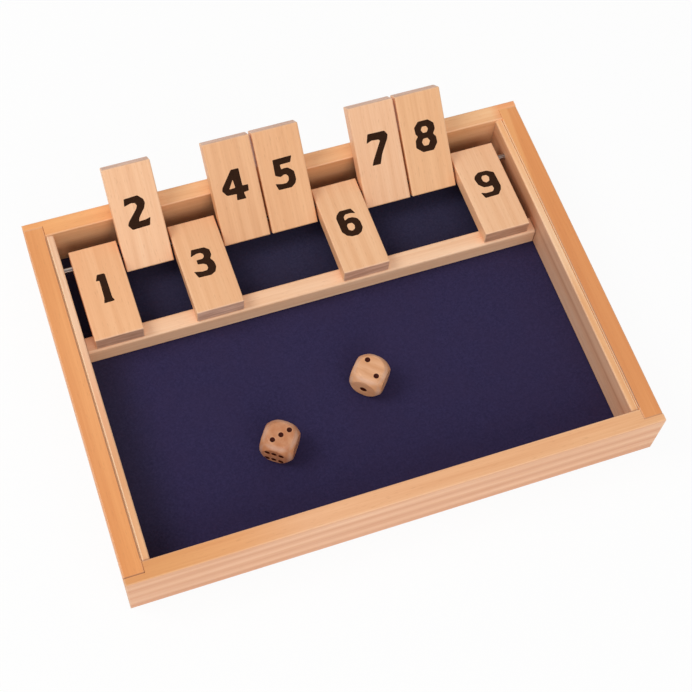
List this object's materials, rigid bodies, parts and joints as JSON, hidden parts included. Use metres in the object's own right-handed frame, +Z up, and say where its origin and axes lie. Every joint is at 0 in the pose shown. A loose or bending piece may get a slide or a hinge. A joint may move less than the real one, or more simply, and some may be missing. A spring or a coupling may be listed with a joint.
{
  "type": "shut the box game",
  "caption": "Shallow wooden dice tray with a felt floor, a row of hinged number tiles on a steel rod along its back, and a pair of wooden dice.",
  "frame": {"origin": "on the table, in the middle of the footprint that the case and the tiles leaning back over it cover together at rest", "axes": "+X to the right along the tile row, +Y from the front rail to the back rail, +Z up"},
  "size_m": [0.285, 0.2198, 0.0615],
  "materials": {
    "rail_wood": "light hardwood, satin clear lacquer",
    "side_rail_wood": "light hardwood, warmer tone, satin clear lacquer",
    "strip_wood": "light hardwood, satin clear lacquer",
    "cross_rail_wood": "pale hardwood, satin clear lacquer",
    "panel_wood": "plywood, sanded, unfinished underside",
    "tile_wood": "light hardwood, fine lengthwise grain, satin clear lacquer",
    "dice_wood": "turned and tumbled hardwood, satin",
    "felt": "pressed dark violet felt, matt",
    "rod_steel": "bright drawn steel wire"
  },
  "bodies": {
    "case": {"front_rail": "rail_wood", "back_rail": "rail_wood", "left_rail": "side_rail_wood", "right_rail": "side_rail_wood", "base_panel": "panel_wood", "felt": "felt", "left_strip": "strip_wood", "right_strip": "strip_wood", "cross_rail": "cross_rail_wood", "axle_rod": "rod_steel"},
    "tile_1_body": {"tile_1": "tile_wood"},
    "tile_2_body": {"tile_2": "tile_wood"},
    "tile_3_body": {"tile_3": "tile_wood"},
    "tile_4_body": {"tile_4": "tile_wood"},
    "tile_5_body": {"tile_5": "tile_wood"},
    "tile_6_body": {"tile_6": "tile_wood"},
    "tile_7_body": {"tile_7": "tile_wood"},
    "tile_8_body": {"tile_8": "tile_wood"},
    "tile_9_body": {"tile_9": "tile_wood"},
    "die_left_body": {"die_left": "dice_wood"},
    "die_right_body": {"die_right": "dice_wood"}
  },
  "joints": [
    {"name": "tile_1_flip", "type": "hinge", "parent": "case", "child": "tile_1_body", "pos_m": [-0.1096, 0.07253, 0.0241], "axis": [-1, 0, 0], "range_deg": [0, 133.33]},
    {"name": "tile_2_flip", "type": "hinge", "parent": "case", "child": "tile_2_body", "pos_m": [-0.0822, 0.07253, 0.0241], "axis": [-1, 0, 0], "range_deg": [-133.33, 0]},
    {"name": "tile_3_flip", "type": "hinge", "parent": "case", "child": "tile_3_body", "pos_m": [-0.0548, 0.07253, 0.0241], "axis": [-1, 0, 0], "range_deg": [0, 133.33]},
    {"name": "tile_4_flip", "type": "hinge", "parent": "case", "child": "tile_4_body", "pos_m": [-0.0274, 0.07253, 0.0241], "axis": [-1, 0, 0], "range_deg": [-133.33, 0]},
    {"name": "tile_5_flip", "type": "hinge", "parent": "case", "child": "tile_5_body", "pos_m": [0, 0.07253, 0.0241], "axis": [-1, 0, 0], "range_deg": [-133.33, 0]},
    {"name": "tile_6_flip", "type": "hinge", "parent": "case", "child": "tile_6_body", "pos_m": [0.0274, 0.07253, 0.0241], "axis": [-1, 0, 0], "range_deg": [0, 133.33]},
    {"name": "tile_7_flip", "type": "hinge", "parent": "case", "child": "tile_7_body", "pos_m": [0.0548, 0.07253, 0.0241], "axis": [-1, 0, 0], "range_deg": [-133.33, 0]},
    {"name": "tile_8_flip", "type": "hinge", "parent": "case", "child": "tile_8_body", "pos_m": [0.0822, 0.07253, 0.0241], "axis": [-1, 0, 0], "range_deg": [-133.33, 0]},
    {"name": "tile_9_flip", "type": "hinge", "parent": "case", "child": "tile_9_body", "pos_m": [0.1096, 0.07253, 0.0241], "axis": [-1, 0, 0], "range_deg": [0, 133.33]},
    {"name": "die_left_lift", "type": "slide", "parent": "case", "child": "die_left_body", "axis": [0, 0, 1], "range_m": [0, 0.1]},
    {"name": "die_right_lift", "type": "slide", "parent": "case", "child": "die_right_body", "axis": [0, 0, 1], "range_m": [0, 0.1]}
  ]
}
